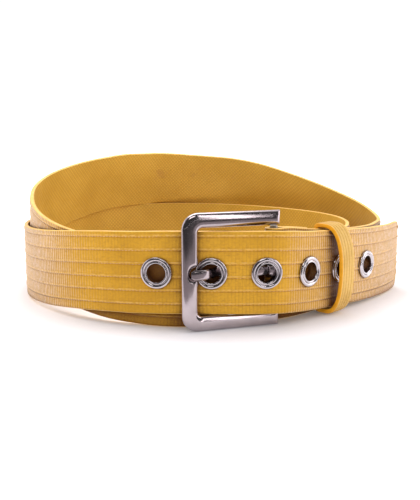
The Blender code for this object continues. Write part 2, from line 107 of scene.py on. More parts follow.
# Stations of the strap's middle line: x, y, height of the lower edge, inward lean in degrees
FLAP = (
    (48.0, 27.5, 5.9, 0.0),
    (43.4, 23.3, 6.8, 0.0),
    (39.2, 19.5, 7.5, 0.0),
    (36.7, 17.4, 7.8, 0.0),
    (34.0, 16.0, 8.0, 0.0),
)
OUTGOING = (
    (38.4, 14.6, 7.8, 0.0),
    (44.2, 19.9, 6.8, 0.0),
    (50.1, 25.3, 5.6, 0.0),
    (56.0, 31.2, 4.6, 0.0),
    (62.0, 37.4, 3.8, 0.0),
    (69.9, 45.9, 3.0, 0.0),
    (77.6, 54.8, 2.2, 0.0),
    (84.3, 64.5, 1.5, 0.0),
    (91.0, 74.5, 1.0, 0.0),
    (97.0, 86.5, 0.9, 0.0),
)
# Polar stations: angle round the turn from the front, radius, height of the lower edge, lean
RAISED_TURN = (
    (87.0, 101.8, 1.4, 0.0),
    (98.0, 104.4, 3.6, 1.5),
    (109.0, 105.6, 7.8, 4.0),
    (120.0, 105.2, 12.8, 7.0),
    (132.0, 104.2, 18.8, 10.0),
    (145.0, 103.2, 25.4, 13.0),
    (157.0, 102.6, 31.2, 15.5),
    (169.0, 102.2, 35.3, 18.0),
    (180.0, 102.4, 37.4, 20.0),
    (189.0, 103.4, 38.7, 21.0),
    (197.0, 103.9, 39.7, 21.5),
    (205.0, 104.2, 40.2, 21.5),
    (213.0, 104.0, 39.8, 20.5),
    (221.0, 103.8, 39.2, 19.0),
    (231.0, 104.2, 36.8, 16.5),
    (241.0, 104.9, 33.9, 13.0),
    (252.0, 105.8, 30.0, 9.0),
    (263.0, 106.6, 25.6, 5.5),
    (274.0, 106.6, 20.4, 2.5),
    (285.0, 105.4, 14.8, 1.0),
    (296.0, 103.6, 10.0, 0.0),
    (307.0, 101.5, 6.2, 0.0),
    (318.0, 99.5, 3.5, 0.0),
    (329.0, 98.3, 1.3, 0.0),
    (340.0, 97.3, 0.2, 0.0),
)
GROUND_FRONT = (
    (-22.0, 8.6, 0.0, 0.0),
    (-11.0, 7.6, 0.0, 0.0),
    (0.0, 8.4, 0.0, 0.0),
    (10.0, 10.8, 0.0, 0.0),
    (20.0, 14.2, 0.0, 0.0),
    (30.0, 19.6, 0.0, 0.0),
    (39.2, 25.2, 0.0, 0.0),
    (47.5, 32.0, 0.0, 0.0),
    (55.0, 39.8, 0.0, 0.0),
    (62.3, 48.6, 0.0, 0.0),
    (69.0, 58.5, 0.0, 0.0),
    (74.8, 69.2, 0.0, 0.0),
    (79.2, 80.4, 0.0, 0.0),
    (81.7, 91.8, 0.0, 0.0),
)
GROUND_TURN = (
    (90.0, 82.6, 0.0, 0.0),
    (100.0, 82.6, 0.0, 0.0),
    (110.0, 82.3, 0.0, 0.0),
    (120.0, 81.9, 0.0, 0.0),
    (132.0, 81.8, 0.0, 0.0),
    (145.0, 82.8, 0.0, 0.0),
    (157.0, 85.4, 0.0, 0.0),
    (169.0, 89.6, 0.0, 0.0),
    (180.0, 94.0, 0.0, 0.0),
    (190.0, 98.0, 0.0, 0.0),
    (200.0, 101.7, 0.0, 0.0),
    (210.0, 104.8, 0.0, 0.0),
    (220.0, 107.1, 0.0, 0.0),
    (230.0, 108.4, 0.0, 0.0),
    (241.0, 109.1, 0.0, 0.0),
    (252.0, 109.5, 0.0, 0.0),
    (263.0, 109.8, 0.0, 0.0),
    (274.0, 109.6, 0.0, 0.0),
    (285.0, 108.4, 0.5, 0.0),
    (296.0, 106.9, 1.4, 0.0),
    (307.0, 105.3, 2.8, 0.0),
    (318.0, 103.8, 4.6, 0.0),
    (329.0, 102.4, 6.0, 0.0),
    (340.0, 101.6, 6.9, 0.0),
)
TIP_RUN = (
    (-24.0, 4.9, 7.4, 0.0),
    (-12.0, 3.4, 7.6, 0.0),
    (0.0, 2.8, 7.6, 0.0),
    (12.0, 2.7, 7.6, 0.0),
    (22.0, 3.1, 7.6, 0.0),
    (29.6, 4.1, 7.5, 0.0),
    (35.6, 6.8, 7.0, 0.0),
    (41.2, 11.1, 6.4, 0.0),
    (47.1, 16.4, 5.6, 0.0),
    (53.1, 22.0, 5.0, 0.0),
    (59.1, 28.0, 4.4, 0.0),
    (65.1, 34.3, 3.8, 0.0),
    (73.1, 42.8, 3.0, 0.0),
    (81.1, 51.5, 2.2, 0.0),
    (89.0, 60.8, 1.5, 0.0),
    (97.0, 71.3, 0.9, 0.0),
    (104.2, 82.4, 0.4, 0.0),
    (112.0, 96.4, 0.2, 0.0),
)
PRONG_LINE = (
    (27.3, 9.3),
    (24.0, 8.1),
    (19.0, 7.4),
    (13.5, 7.1),
    (9.0, 7.0),
    (6.0, 6.9),
    (4.3, 6.6),
    (3.0, 5.7),
    (2.1, 4.4),
    (0.8, 2.5),
    (-0.4, 0.6),
    (-1.4, -0.8),
    (-2.9, -2.0),
    (-5.2, -2.8),
    (-7.2, -3.2),
    (-8.7, -3.5),
)

# Ribs of the webbing's outer face
RIDGE_FROM_TOP = (2.1, 8.7, 15.3, 21.8, 28.3, 34.8)
RIDGE_LEVEL = STRAP_THICK / 2.0
FIELD_LEVEL = 0.98
RIDGE_PITCH = 6.54
CORD_PITCH = 1.72
CORD_GROOVE = 0.3
CORD_DEPTH = 0.1


def mm(points):
    """Drawing points in mm as row frame positions in metres."""
    return (np.asarray(points, float) - ORIGIN) * MM


def polar(stations):
    result = []
    for angle, radius, height, lean in stations:
        turn = math.radians(angle)
        x = TURN_CENTRE[0] + radius * math.sin(turn)
        y = TURN_CENTRE[1] - radius * math.cos(turn)
        result.append((x, y, height, lean))
    return result


def fold_arc():
    result = []
    for i in range(FOLD_STEPS + 1):
        turn = math.radians(FOLD_FROM + (FOLD_TO - FOLD_FROM) * i / FOLD_STEPS)
        x = BAR_X + FOLD_RADIUS * math.cos(turn)
        y = BAR_Y + FOLD_RADIUS * math.sin(turn)
        result.append((x, y, 8.0, 0.0))
    return result


def smooth_through(stations, step):
    """Centripetal Catmull-Rom curve through the stations, sampled about every step."""
    pts = [Vector(s) for s in stations]
    pts = [pts[0] * 2.0 - pts[1]] + pts + [pts[-1] * 2.0 - pts[-2]]
    result = []
    for i in range(1, len(pts) - 2):
        p0, p1, p2, p3 = pts[i - 1], pts[i], pts[i + 1], pts[i + 2]
        t1 = math.hypot(p1[0] - p0[0], p1[1] - p0[1]) ** 0.5
        t2 = t1 + math.hypot(p2[0] - p1[0], p2[1] - p1[1]) ** 0.5
        t3 = t2 + math.hypot(p3[0] - p2[0], p3[1] - p2[1]) ** 0.5
        span = math.hypot(p2[0] - p1[0], p2[1] - p1[1])
        steps = max(1, round(span / step))
        for k in range(steps):
            t = t1 + (t2 - t1) * k / steps
            a1 = p0 * ((t1 - t) / t1) + p1 * (t / t1)
            a2 = p1 * ((t2 - t) / (t2 - t1)) + p2 * ((t - t1) / (t2 - t1))
            a3 = p2 * ((t3 - t) / (t3 - t2)) + p3 * ((t - t2) / (t3 - t2))
            b1 = a1 * ((t2 - t) / t2) + a2 * (t / t2)
            b2 = a2 * ((t3 - t) / (t3 - t1)) + a3 * ((t - t1) / (t3 - t1))
            result.append(b1 * ((t2 - t) / (t2 - t1)) + b2 * ((t - t1) / (t2 - t1)))
    result.append(Vector(stations[-1]))
    for point in result:
        point[2] = max(point[2], 0.0)
    return np.array([list(p) for p in result])


def strap_path(step):
    stations = list(FLAP) + fold_arc() + list(OUTGOING) + polar(RAISED_TURN)
    stations += list(GROUND_FRONT) + polar(GROUND_TURN) + list(TIP_RUN)
    return smooth_through(stations, step)


def arc_lengths(path):
    steps = np.hypot(np.diff(path[:, 0]), np.diff(path[:, 1]))
    return np.concatenate(([0.0], np.cumsum(steps)))


def along(path, lengths, s):
    """Path rows at the lengths s."""
    return np.stack([np.interp(s, lengths, path[:, k]) for k in range(path.shape[1])], 1)


# ---------------------------------------------------------------- meshes


def make_object(name, points, faces, materials, indices=None, uvs=None, sharp=50.0):
    """Object from row frame points; uvs is one (u, v) for each vertex."""
    mesh = bpy.data.meshes.new(name)
    mesh.from_pydata([tuple(p) for p in points], [], faces)
    for material in materials:
        mesh.materials.append(material)
    if indices is not None:
        mesh.polygons.foreach_set("material_index", np.asarray(indices, np.int32))
    if uvs is not None:
        layer = mesh.uv_layers.new(name="strap_uv")
        loops = np.zeros(len(mesh.loops), np.int32)
        mesh.loops.foreach_get("vertex_index", loops)
        layer.data.foreach_set("uv", np.asarray(uvs, np.float32)[loops].ravel())
    shape = bmesh.new()
    shape.from_mesh(mesh)
    bmesh.ops.recalc_face_normals(shape, faces=shape.faces)
    shape.to_mesh(mesh)
    shape.free()
    mesh.shade_smooth()
    mesh.set_sharp_from_angle(angle=math.radians(sharp))
    mesh.update()
    item = bpy.data.objects.new(name, mesh)
    bpy.context.scene.collection.objects.link(item)
    return item


def grid_faces(rows, columns, close_rows=False, close_columns=False):
    """Quads of a rows by columns grid of vertices in row order."""
    faces = []
    last_row = rows if close_rows else rows - 1
    last_column = columns if close_columns else columns - 1
    for i in range(last_row):
        a = i * columns
        b = ((i + 1) % rows) * columns
        for k in range(last_column):
            n = (k + 1) % columns
            faces.append((a + k, b + k, b + n, a + n))
    return faces


def apply_modifiers(item, sharp=50.0):
    graph = bpy.context.evaluated_depsgraph_get()
    made = bpy.data.meshes.new_from_object(item.evaluated_get(graph))
    item.modifiers.clear()
    item.data = made
    made.shade_smooth()
    made.set_sharp_from_angle(angle=math.radians(sharp))


def cut(item, cutters, operation="DIFFERENCE", sharp=50.0):
    for cutter in cutters:
        step = item.modifiers.new("cut", "BOOLEAN")
        step.operation = operation
        step.solver = "EXACT"
        step.object = cutter
    apply_modifiers(item, sharp)
    for cutter in cutters:
        bpy.data.objects.remove(cutter)


def strap_profile():
    """Section of the webbing: (height, outward offset, part, cord share).

    Part 0 is the outer face, 1 an edge, 2 the inner face.
    """
    points = [
        (0.0, 0.1, 1, 0.0),
        (0.06, 0.62, 1, 0.0),
        (0.3, FIELD_LEVEL - 0.05, 0, 0.7),
        (0.9, FIELD_LEVEL, 0, 1.0),
    ]
    shape = (
        (-1.3, 0.0, 1.0),
        (-1.05, -0.2, 0.5),
        (-0.7, -0.2, 0.3),
        (-0.52, 0.1, 0.2),
        (-0.3, RIDGE_LEVEL - FIELD_LEVEL, 0.15),
        (0.25, RIDGE_LEVEL - FIELD_LEVEL, 0.15),
        (0.6, 0.12, 0.4),
        (0.85, -0.06, 0.7),
        (1.1, 0.0, 1.0),
    )
    for drop in sorted(RIDGE_FROM_TOP, reverse=True):
        centre = STRAP_WIDTH - drop
        for shift, rise, share in shape:
            points.append((centre + shift, FIELD_LEVEL + rise, 0, share))
    points += [
        (39.72, FIELD_LEVEL - 0.06, 0, 0.8),
        (39.95, 0.66, 1, 0.1),
        (40.0, 0.15, 1, 0.0),
        (39.98, -0.9, 1, 0.0),
        (39.8, -1.18, 2, 0.0),
        (39.4, -1.25, 2, 0.0),
        (30.0, -1.25, 2, 0.0),
        (20.0, -1.25, 2, 0.0),
        (10.0, -1.25, 2, 0.0),
        (0.6, -1.25, 2, 0.0),
        (0.2, -1.18, 2, 0.0),
        (0.02, -0.9, 1, 0.0),
    ]
    return points


def tip_trim(distance, radius):
    """How much a rounded corner takes off the width at a distance from the tip."""
    inside = np.clip(radius - distance, 0.0, radius)
    return radius - np.sqrt(radius * radius - inside * inside)


def build_strap(outer, edge, inner):
    path = strap_path(0.5)
    lengths = arc_lengths(path)
    total = lengths[-1]
    count = int(total / CORD_PITCH)
    stations = []
    for k in range(count + 1):
        start = k * CORD_PITCH
        for shift, level in ((0.0, 1.0), (CORD_GROOVE, 0.0), (CORD_PITCH - CORD_GROOVE, 0.0)):
            if start + shift < total - 0.05:
                stations.append((start + shift, level))
    for back in (2.6, 1.5, 0.7, 0.25):
        stations = [p for p in stations if abs(p[0] - (total - back)) > 0.12]
        stations.append((total - back, 0.0))
    stations.append((total, 0.0))
    stations.sort()
    s = np.array([p[0] for p in stations])
    groove = np.array([p[1] for p in stations])
    mid = along(path, lengths, s)
    ahead = along(path, lengths, np.minimum(s + 0.6, total))
    behind = along(path, lengths, np.maximum(s - 0.6, 0.0))
    flat = ahead[:, :2] - behind[:, :2]
    flat /= np.linalg.norm(flat, axis=1)[:, None]
    inward = np.stack([-flat[:, 1], flat[:, 0], np.zeros(len(s))], 1)
    lean = np.radians(mid[:, 3])[:, None]
    rise = np.array((0.0, 0.0, 1.0))
    up = inward * np.sin(lean) + rise * np.cos(lean)
    out = -(inward * np.cos(lean) - rise * np.sin(lean))

    profile = strap_profile()
    height = np.array([p[0] for p in profile])
    offset = np.array([p[1] for p in profile])
    part = [p[2] for p in profile]
    share = np.array([p[3] for p in profile])
    low = tip_trim(total - s, 6.0)
    high = tip_trim(total - s, 2.5)
    squeeze = (STRAP_WIDTH - low - high) / STRAP_WIDTH
    v = low[:, None] + height[None, :] * squeeze[:, None]
    w = offset[None, :] - CORD_DEPTH * groove[:, None] * share[None, :]
    points = (
        mid[:, None, :3] + up[:, None, :] * v[:, :, None] + out[:, None, :] * w[:, :, None]
    )
    columns = len(profile)
    faces = grid_faces(len(s), columns, close_columns=True)
    indices = []
    for i in range(len(s) - 1):
        for k in range(columns):
            pair = {part[k], part[(k + 1) % columns]}
            indices.append(1 if pair & {1} and pair != {0} and pair != {2} else min(pair))
    faces.append(tuple(range(columns)))
    faces.append(tuple((len(s) - 1) * columns + k for k in range(columns)))
    indices += [1, 1]
    uvs = np.stack(
        [np.repeat(s, columns) * 0.01, np.tile(height, len(s)) * 0.01], 1
    )
    return make_object(
        "strap_visual",
        mm(points.reshape(-1, 3)),
        faces,
        (outer, edge, inner),
        indices,
        uvs,
        sharp=58.0,
    )


def eyelet_frames():
    """Centre and outward direction of each eyelet in the drawing, as the CAD source has them."""
    path = strap_path(CAD_STEP)
    lengths = arc_lengths(path)
    start = 0.0
    for i in range(len(path) - 60, len(path)):
        if path[i][1] < 12.0 and path[i][0] >= EYELET_START_X:
            mix = (EYELET_START_X - path[i - 1][0]) / (path[i][0] - path[i - 1][0])
            start = lengths[i - 1] + mix * (lengths[i] - lengths[i - 1])
            break
    result = []
    for k in range(EYELET_COUNT):
        at = start + k * EYELET_PITCH
        rows = along(path, lengths, np.array((at - 5.0, at, at + 5.0)))
        rows[:, 2] += STRAP_WIDTH / 2.0
        flat = rows[2, :2] - rows[0, :2]
        flat /= np.linalg.norm(flat)
        centre = (rows[1, :3] * 2.0 + rows[0, :3] + rows[2, :3]) / 4.0
        result.append((Vector(centre), Vector((flat[1], -flat[0], 0.0))))
    return result


def ring(name, profile, centre, axis, materials, sides=72):
    """Closed (radius, height) profile turned round an axis; centre in mm of the drawing."""
    turn = np.array(axis.to_track_quat("Z", "Y").to_matrix())
    angles = np.arange(sides) * 2.0 * math.pi / sides
    points = []
    for angle in angles:
        for radius, height in profile:
            local = np.array((radius * math.cos(angle), radius * math.sin(angle), height))
            points.append(np.array(centre) + turn @ local)
    faces = grid_faces(sides, len(profile), close_rows=True, close_columns=True)
    return make_object(name, mm(points), faces, materials, sharp=40.0)


def eyelet_profile():
    """Raised ring, thin groove and rolled inner lip, then the tube through the webbing."""
    base = RIDGE_LEVEL + 0.06
    back = -EYELET_BACK_DEPTH
    points = [(4.62, back), (4.55, base + 0.1)]
    lip = (5.1, base + 0.62)
    for i in range(7):
        turn = math.radians(195.0 - 165.0 * i / 6.0)
        points.append((lip[0] + 0.55 * math.cos(turn), lip[1] + 0.5 * math.sin(turn)))
    points.append((5.72, base + 0.66))
    crest = (6.62, base + 0.42)
    for i in range(9):
        turn = math.radians(160.0 - 172.0 * i / 8.0)
        points.append((crest[0] + 0.98 * math.cos(turn), crest[1] + 0.78 * math.sin(turn)))
    points += [(7.5, base), (EYELET_TUBE, base), (EYELET_TUBE, back)]
    return points


def cylinder(name, centre, axis, radius, length, sides=48):
    shape = bmesh.new()
    bmesh.ops.create_cone(
        shape,
        cap_ends=True,
        segments=sides,
        radius1=radius * MM,
        radius2=radius * MM,
        depth=length * MM,
    )
    turn = axis.to_track_quat("Z", "Y").to_matrix().to_4x4()
    shape.transform(Matrix.Translation(Vector(mm(centre))) @ turn)
    mesh = bpy.data.meshes.new(name)
    shape.to_mesh(mesh)
    shape.free()
    item = bpy.data.objects.new(name, mesh)
    bpy.context.scene.collection.objects.link(item)
    return item


def block(name, centre, size, turn):
    shape = bmesh.new()
    bmesh.ops.create_cube(shape, size=1.0)
    scale = Matrix.Diagonal((size[0] * MM, size[1] * MM, size[2] * MM, 1.0))
    shape.transform(Matrix.Translation(Vector(mm(centre))) @ Matrix.Rotation(turn, 4, "Z") @ scale)
    mesh = bpy.data.meshes.new(name)
    shape.to_mesh(mesh)
    shape.free()
    item = bpy.data.objects.new(name, mesh)
    bpy.context.scene.collection.objects.link(item)
    return item


def joined(items):
    """One mesh object from several separate ones."""
    shape = bmesh.new()
    for item in items:
        shape.from_mesh(item.data)
    mesh = bpy.data.meshes.new("joined")
    shape.to_mesh(mesh)
    shape.free()
    for item in items:
        bpy.data.objects.remove(item)
    whole = bpy.data.objects.new("joined", mesh)
    bpy.context.scene.collection.objects.link(whole)
    return whole


def rivet_places():
    fore = Vector((41.3, 17.2, 0.0))
    rear = Vector((39.2, 19.5, 0.0))
    middle = (fore + rear) / 2.0
    outward = (fore - rear).normalized()
    return [(middle + Vector((0.0, 0.0, 27.8 + rise)), outward) for rise in (-12.0, 12.0)]


# ---------------------------------------------------------------- buckle frame


def notch_reach(z):
    """How far the notch goes into the far bar at a height from its middle."""
    gap = abs(z)
    if gap < NOTCH_HALF:
        return NOTCH_DEPTH - NOTCH_HALF + math.sqrt(NOTCH_HALF**2 - gap**2)
    if gap < NOTCH_HALF + 1.0:
        share = 1.0 - (gap - NOTCH_HALF)
        return (NOTCH_DEPTH - NOTCH_HALF) * share * share
    return 0.0


def outer_corner(angle, centre, half, left):
    """Where a ray from the inner corner's centre meets the frame's rounded outer corner."""
    direction = np.array((math.cos(angle), math.sin(angle)))
    start = np.array(centre)
    low, high = 0.0, 30.0
    for _ in range(40):
        reach = (low + high) / 2.0
        x, z = start + direction * reach
        x_in = x - (left + FRAME_CORNER)
        z_in = abs(z) - (half - FRAME_CORNER)
        if x_in < 0.0 and z_in > 0.0:
            inside = math.hypot(x_in, z_in) < FRAME_CORNER
        else:
            inside = x > left and abs(z) < half
        low, high = (reach, high) if inside else (low, reach)
    return tuple(start + direction * low)


def frame_stations():
    """Outer and inner points of the frame along its C, from the lower arm's end to the upper one's."""
    half = FRAME_HEIGHT / 2.0
    left = -FRAME_REACH
    inner_x = left + FRAME_SIDE
    clear = half - FRAME_ARM
    pairs = []
    ends = (0.0, 0.12, 0.35, 0.7, 1.2, 1.9, 2.8)
    run = [FRAME_TAIL - e for e in ends]
    run += list(np.linspace(-1.5, inner_x + INNER_CORNER, 22))
    for x in run:
        pairs.append(((x, -half), (x, -clear)))
    centre = (inner_x + INNER_CORNER, -clear + INNER_CORNER)
    for i in range(1, 20):
        turn = math.radians(270.0 - 90.0 * i / 20.0)
        pairs.append(
            (
                outer_corner(turn, centre, half, left),
                (
                    centre[0] + INNER_CORNER * math.cos(turn),
                    centre[1] + INNER_CORNER * math.sin(turn),
                ),
            )
        )
    reach = clear - INNER_CORNER
    side = list(np.linspace(reach, 5.2, 9)) + [4.6, 4.25, 4.0, 3.7, 3.45, 3.3, 3.2, 3.0, 2.7]
    side += [2.3, 1.8, 1.2, 0.6]
    for z in [-z for z in side] + [0.0] + side[::-1]:
        pairs.append(((left, z), (inner_x - notch_reach(z), z)))
    upper = [((o[0], -o[1]), (n[0], -n[1])) for o, n in reversed(pairs[: len(run) + 19])]
    return pairs + upper


def edge_distance(points, outline):
    """Shortest distance from each point to a closed outline."""
    result = np.full(len(points), 1e9)
    for a, b in zip(outline, np.roll(outline, -1, axis=0)):
        d = b - a
        square = max(float(d @ d), 1e-12)
        t = np.clip(((points - a) @ d) / square, 0.0, 1.0)
        nearest = a + t[:, None] * d
        result = np.minimum(result, np.linalg.norm(points - nearest, axis=1))
    return result


def build_frame(steel):
    stations = frame_stations()
    outer = np.array([p[0] for p in stations])
    inner = np.array([p[1] for p in stations])
    outline = np.concatenate([outer, inner[::-1]])
    across = np.array(
        (0.0, 0.012, 0.04, 0.08, 0.14, 0.22, 0.31, 0.4, 0.5)
        + (0.6, 0.69, 0.78, 0.86, 0.92, 0.96, 0.988, 1.0)
    )
    flat = outer[:, None, :] + (inner - outer)[:, None, :] * across[None, :, None]
    rows, columns = flat.shape[:2]
    flat = flat.reshape(-1, 2)
    distance = edge_distance(flat, outline)
    share = np.clip(distance / 3.5, 0.0, 1.0)
    crown = np.sqrt(np.clip(1.0 - (1.0 - share) ** 2.5, 0.0, 1.0))
    front = FRAME_THICK / 2.0 * crown
    back_share = np.clip(distance / 1.6, 0.0, 1.0)
    back = -FRAME_THICK / 2.0 * np.sqrt(np.clip(1.0 - (1.0 - back_share) ** 2.2, 0.0, 1.0))
    half = FRAME_HEIGHT / 2.0
    cos, sin = math.cos(FRAME_TILT), math.sin(FRAME_TILT)

    def placed(height):
        x = BAR_X + flat[:, 0] * cos + height * sin
        y = BAR_Y + flat[:, 0] * sin - height * cos
        return np.stack([x, y, flat[:, 1] + half], 1)

    points = np.concatenate([placed(front), placed(back)])
    count = rows * columns
    rim = set()
    for i in range(rows):
        rim |= {i * columns, i * columns + columns - 1}
    for k in range(columns):
        rim |= {k, (rows - 1) * columns + k}
    index = list(range(2 * count))
    for i in rim:
        index[count + i] = i
    faces = grid_faces(rows, columns)
    faces += [
        tuple(index[count + i] for i in face)[::-1] for face in grid_faces(rows, columns)
    ]
    keep = sorted(set(i for face in faces for i in face))
    renamed = {old: new for new, old in enumerate(keep)}
    faces = [tuple(renamed[i] for i in face) for face in faces]
    return make_object("buckle_frame_visual", mm(points[keep]), faces, (steel,), sharp=70.0)


# ---------------------------------------------------------------- prong


def build_prong(steel):
    """Facetted bar along the prong's line, with an eye round the crossbar."""
    line = smooth_through([(x, y, 0.0, 0.0) for x, y in PRONG_LINE], 0.6)[:, :2]
    lengths = np.concatenate(([0.0], np.cumsum(np.linalg.norm(np.diff(line, axis=0), axis=1))))
    left = lengths[-1] - lengths
    tangent = np.gradient(line, axis=0)
    tangent /= np.linalg.norm(tangent, axis=1)[:, None]
    normal = np.stack([-tangent[:, 1], tangent[:, 0]], 1)
    narrow = np.clip(left / 1.5, 0.0, 1.0)
    tall = PRONG_WIDTH / 2.0 * (0.62 + 0.38 * narrow)
    thick = PRONG_THICK / 2.0 * (0.6 + 0.4 * narrow)
    corner = 0.75
    points = []
    for i in range(len(line)):
        cut_in = corner * (0.6 + 0.4 * narrow[i])
        a, b = thick[i], tall[i]
        section = (
            (-a, -b + cut_in),
            (-a + cut_in * 0.8, -b),
            (a - cut_in * 0.8, -b),
            (a, -b + cut_in),
            (a, b - cut_in),
            (a - cut_in * 0.8, b),
            (-a + cut_in * 0.8, b),
            (-a, b - cut_in),
        )
        for w, z in section:
            x, y = line[i] + normal[i] * w
            points.append((x, y, BUCKLE_Z + z))
    faces = grid_faces(len(line), 8, close_columns=True)
    faces.append(tuple(range(8)))
    faces.append(tuple((len(line) - 1) * 8 + k for k in range(8)))
    bar = make_object("prong_visual", mm(points), faces, (steel,), sharp=25.0)
    half = PRONG_WIDTH / 2.0
    outer = BAR_RADIUS + 0.3 + 2.0
    inner = BAR_RADIUS + 0.3
    profile = (
        (inner, -half + 0.2),
        (inner + 0.2, -half),
        (outer - 0.5, -half),
        (outer, -half + 0.5),
        (outer, half - 0.5),
        (outer - 0.5, half),
        (inner + 0.2, half),
        (inner, half - 0.2),
    )
    eye = ring(
        "prong_eye", profile, (BAR_X, BAR_Y, BUCKLE_Z), Vector((0.0, 0.0, 1.0)), (steel,), 48
    )
    cut(bar, [eye], "UNION", sharp=25.0)
    round_edges(bar, 0.12, 2, 25.0)
    return bar


def round_edges(item, width, segments, angle):
    step = item.modifiers.new("eased", "BEVEL")
    step.width = width * MM
    step.segments = segments
    step.limit_method = "ANGLE"
    step.angle_limit = math.radians(angle)
    apply_modifiers(item, 40.0)


# ---------------------------------------------------------------- keeper


def keeper_outline(inset):
    """Loop of the keeper across the strap at a depth below its outer face: (outward, height)."""
    thick = KEEPER_THICK - inset
    loop = []
    top = STRAP_WIDTH / 2.0 + 1.4
    back = -(STRAP_THICK * 1.5 + 1.85 + 0.8)
    middle = -2.2
    steps = 56
    reach = KEEPER_BOW + thick - middle
    for i in range(steps + 1):
        turn = math.radians(90.0 - 180.0 * i / steps)
        bow = abs(math.cos(turn)) ** 0.74
        lift = math.copysign(abs(math.sin(turn)) ** 0.78, math.sin(turn))
        loop.append((middle + reach * bow, (top + thick) * lift))
    for side in (-1.0, 1.0):
        for i in range(9):
            turn = math.radians(90.0 * i / 8.0)
            if side > 0.0:
                turn = math.radians(90.0) - turn
            radius = 1.2 + thick
            rise = top - 1.2 + radius * math.cos(turn)
            loop.append((back + 1.2 - radius * math.sin(turn), side * rise))
    return np.array(loop)


def build_keeper(outer_look, edge_look):
    half = KEEPER_WIDTH / 2.0
    section = [
        (-half + 0.25, KEEPER_THICK, 1),
        (-half, KEEPER_THICK - 0.3, 1),
        (-half, 0.45, 1),
        (-half + 0.12, 0.2, 1),
        (-half + 0.4, 0.12, 0),
    ]
    for centre in (-3.4, -1.1, 1.2, 3.5):
        section += [
            (centre - 0.75, 0.2, 0),
            (centre - 0.5, 0.34, 0),
            (centre - 0.28, 0.02, 0),
            (centre + 0.2, 0.0, 0),
            (centre + 0.45, 0.3, 0),
            (centre + 0.7, 0.2, 0),
        ]
    section += [
        (half - 0.4, 0.12, 0),
        (half - 0.12, 0.2, 1),
        (half, 0.45, 1),
        (half, KEEPER_THICK - 0.3, 1),
        (half - 0.25, KEEPER_THICK, 1),
    ]
    flat = np.array((math.cos(KEEPER_HEADING), math.sin(KEEPER_HEADING), 0.0))
    outward = np.array((flat[1], -flat[0], 0.0))
    centre = np.array((*KEEPER_AT, KEEPER_Z))
    loops = [keeper_outline(depth) for _, depth, _ in section]
    count = len(loops[0])
    lengths = np.concatenate(
        ([0.0], np.cumsum(np.linalg.norm(np.diff(loops[0], axis=0), axis=1)))
    )
    points = []
    uvs = []
    for k in range(count):
        for (shift, depth, _), loop in zip(section, loops):
            out, rise = loop[k]
            skew = KEEPER_SKEW * (max(rise, 0.0) / 21.0) ** 2.0
            points.append(
                centre + flat * (shift - skew) + outward * out + np.array((0.0, 0.0, rise))
            )
            uvs.append((lengths[k] * 0.01, (shift + half) * 0.01))
    columns = len(section)
    faces = grid_faces(count, columns, close_rows=True, close_columns=True)
    indices = []
    for _ in range(count):
        for k in range(columns):
            parts = (section[k][2], section[(k + 1) % columns][2])
            inside = k == columns - 1
            indices.append(0 if inside else max(parts))
    return make_object(
        "keeper_visual", mm(points), faces, (outer_look, edge_look), indices, uvs, sharp=45.0
    )


# ---------------------------------------------------------------- materials


